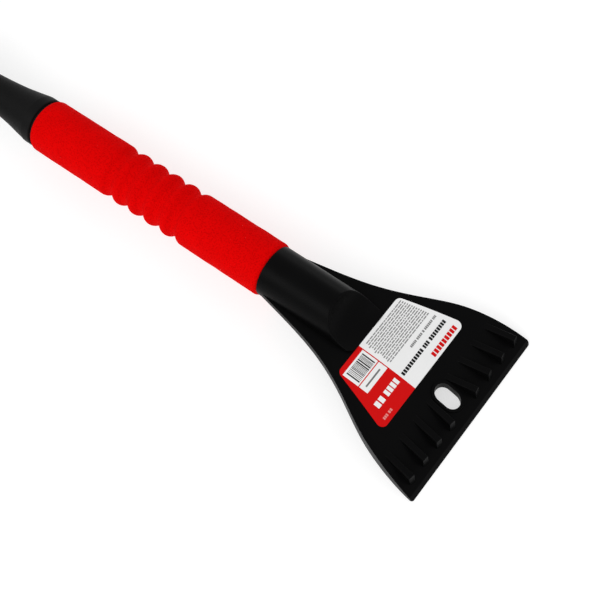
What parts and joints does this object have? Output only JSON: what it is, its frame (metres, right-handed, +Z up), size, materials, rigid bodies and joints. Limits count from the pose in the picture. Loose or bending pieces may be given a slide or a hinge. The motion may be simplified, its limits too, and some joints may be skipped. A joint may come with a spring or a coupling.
{
  "type": "snow brush with ice scraper",
  "caption": "Car snow brush with a foam grip and a fan-shaped ice scraper head with wedge ribs, a thumb cove and a hanging slot.",
  "frame": {"origin": "under the middle of the tool's bounding box, on the lowest plane, where the scraper's blade rests", "axes": "+X along the handle from the brush end to the blade, +Z up through the labelled side, bristles towards -Y"},
  "size_m": [0.5, 0.1096, 0.0451],
  "materials": {
    "scraper_plastic": "satin black moulded plastic",
    "label_print": "printed white and red vinyl sticker",
    "grip_foam": "soft matt red foam",
    "tube_steel": "black enamelled steel tube",
    "rivet_metal": "plain drawn pin",
    "brush_plastic": "matt charcoal moulded plastic",
    "bristle_nylon": "black nylon filament",
    "staple_metal": "drawn flat wire"
  },
  "bodies": {
    "root": {"scraper_head": "scraper_plastic", "product_label": "label_print", "foam_grip": "grip_foam", "handle_tube": "tube_steel", "head_rivet": "rivet_metal", "brush_rivet": "rivet_metal", "brush_head": "brush_plastic", "bristle_row_1": "bristle_nylon", "bristle_row_2": "bristle_nylon", "bristle_row_3": "bristle_nylon", "bristle_row_4": "bristle_nylon", "staple_row_1": "staple_metal", "staple_row_2": "staple_metal", "staple_row_3": "staple_metal", "staple_row_4": "staple_metal"}
  },
  "joints": []
}
